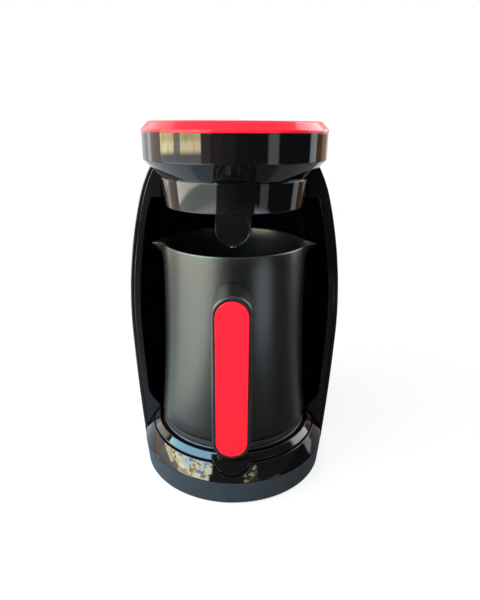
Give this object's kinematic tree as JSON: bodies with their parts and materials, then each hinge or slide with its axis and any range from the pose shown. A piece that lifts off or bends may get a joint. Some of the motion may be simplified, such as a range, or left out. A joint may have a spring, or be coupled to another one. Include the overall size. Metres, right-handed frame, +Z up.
{
  "type": "electric turkish coffee maker",
  "caption": "Countertop electric coffee pot machine: barrel rear shell, round sloping base with start key, overhanging sensor head and a removable two-lipped pot with upright handle.",
  "frame": {"origin": "on the table under the machine, on the axis of the pot and of the round base", "axes": "+Z up along the pot's axis; the handle and the start key face -Y; the cord inlet faces +Y; +X to the right seen from the front"},
  "size_m": [0.147, 0.1465, 0.2408],
  "materials": {
    "gloss_black": "high gloss moulded",
    "red_gloss": "gloss moulded",
    "matte_slate": "fine matte moulded",
    "matte_black": "matte moulded",
    "handle_black": "satin moulded",
    "rubber_black": "moulded rubber",
    "silicone": "silicone",
    "zinc_steel": "zinc plated",
    "element_steel": "drawn stainless steel",
    "plate_aluminium": "turned, hard anodised",
    "pot_coat": "satin non-stick coat on aluminium",
    "pot_base_black": "coated disc",
    "board_green": "solder resist",
    "parts_plastic": "moulded component bodies",
    "thermostat_plastic": "phenolic"
  },
  "bodies": {
    "machine": {"base_housing": "matte_slate", "bottom_plate": "matte_black", "feet": "rubber_black", "base_screws": "zinc_steel", "bezel": "gloss_black", "seat_ring": "gloss_black", "key_switch": "matte_black", "key_board": "board_green", "plate_seal": "silicone", "hot_plate": "plate_aluminium", "heating_element": "element_steel", "heater_dish": "zinc_steel", "dish_screws": "zinc_steel", "thermostat": "thermostat_plastic", "control_board": "board_green", "board_parts": "parts_plastic", "cord_gland": "rubber_black", "rear_shell": "gloss_black", "liner": "gloss_black", "front_frame": "gloss_black", "column_frame": "zinc_steel", "neck_frame": "matte_black", "neck_screws": "zinc_steel", "head_ring": "gloss_black", "collar": "gloss_black", "head_floor": "matte_black", "floor_screws": "zinc_steel", "lid": "red_gloss", "head_board": "board_green", "sensor_housing": "matte_black", "sensor_probe": "element_steel"},
    "pot": {"pot_body": "pot_coat", "pot_base": "pot_base_black", "handle_frame": "handle_black", "handle_insert": "red_gloss", "handle_bracket": "zinc_steel", "handle_screws": "zinc_steel"},
    "start_button": {"start_key": "gloss_black", "switch_plunger": "matte_black"}
  },
  "joints": [
    {"name": "pot_slide", "type": "slide", "parent": "machine", "child": "pot", "axis": [0, -0.9998, 0.0175], "range_m": [0, 0.15]},
    {"name": "start_press", "type": "slide", "parent": "machine", "child": "start_button", "axis": [0, 0.8581, -0.5134], "range_m": [0, 0.0008], "stiffness_N_per_m": 600, "springref_m": -0.0005}
  ]
}
